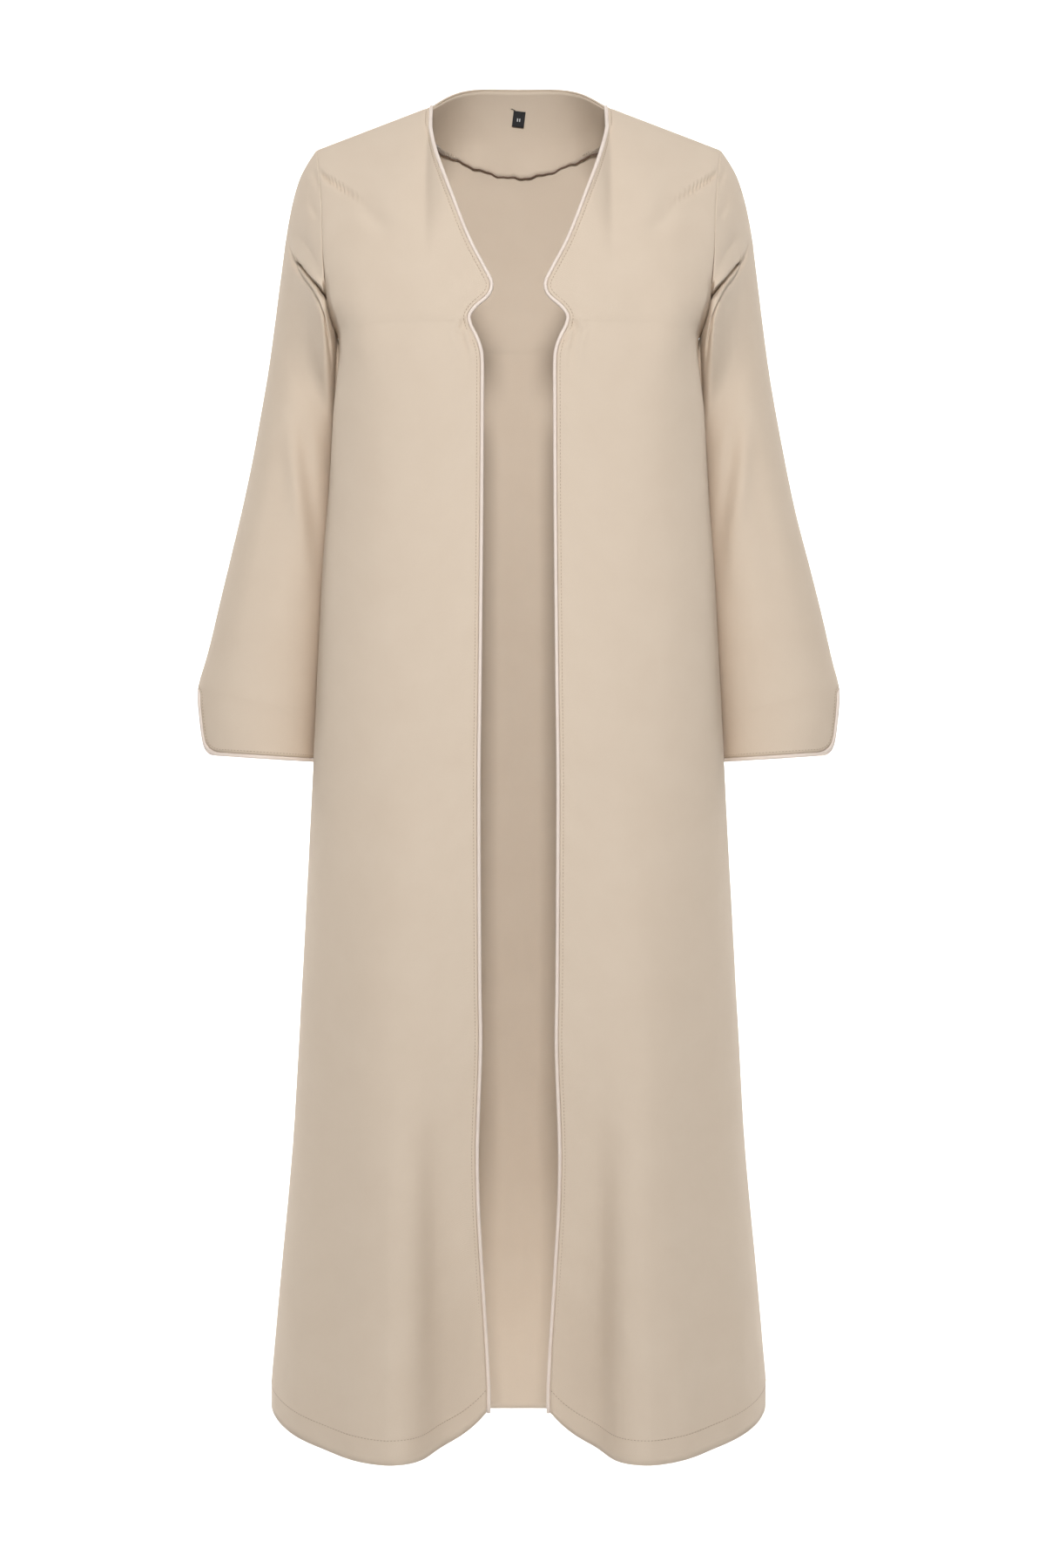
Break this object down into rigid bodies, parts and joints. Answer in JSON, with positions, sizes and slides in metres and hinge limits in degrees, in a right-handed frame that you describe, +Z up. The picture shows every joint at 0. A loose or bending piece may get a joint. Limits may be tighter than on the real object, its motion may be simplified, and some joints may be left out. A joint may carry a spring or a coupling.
{
  "type": "abaya cloak",
  "caption": "Long open-front abaya cloak with set-in sleeves, slit cuffs, a notched neckline and contrast piping, hollow as it is worn.",
  "frame": {"origin": "centre of the neck opening, level with the neck ends of the shoulder seams", "axes": "+Z up, -Y the front, +X the wearer's left"},
  "size_m": [0.652, 0.2967, 1.359],
  "materials": {
    "cloth": "matt beige crepe",
    "piping": "pale satin piping",
    "label": "dark woven tape"
  },
  "bodies": {
    "root": {"back": "cloth", "front_left": "cloth", "front_right": "cloth", "sleeve_left": "cloth", "sleeve_right": "cloth", "neck_facing": "cloth", "front_piping_left": "piping", "front_piping_right": "piping", "cuff_piping_left": "piping", "cuff_piping_right": "piping", "size_label": "label"}
  },
  "joints": []
}
